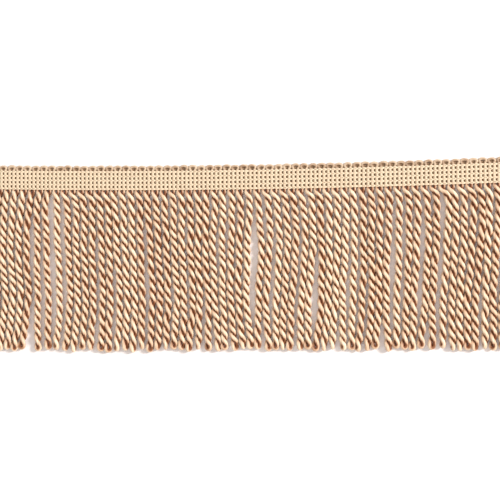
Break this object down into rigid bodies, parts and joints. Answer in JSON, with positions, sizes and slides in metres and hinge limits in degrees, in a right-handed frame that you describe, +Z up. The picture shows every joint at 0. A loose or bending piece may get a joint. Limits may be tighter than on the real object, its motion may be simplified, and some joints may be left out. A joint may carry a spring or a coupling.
{
  "type": "twisted cord fringe trim with a knit heading",
  "caption": "Flat length of bullion fringe: a narrow knit heading with a picot edging above and a row of twisted cords hanging below.",
  "frame": {"origin": "middle of the underside of the whole trim, on the surface it lies on", "axes": "+X along the heading, +Y from the fringe towards the heading's picot edge, +Z up out of the face"},
  "size_m": [0.2499, 0.0811, 0.003],
  "materials": {
    "heading_yarn": "matt crochet-knit band of cream yarn",
    "loop_yarn": "soft cream yarn with a tan strand, in small loops",
    "fringe_cord": "silky two-tone cream and tan yarn, tightly twisted"
  },
  "bodies": {
    "root": {"heading": "heading_yarn", "edge_loops": "loop_yarn", "fringe": "fringe_cord"}
  },
  "joints": []
}
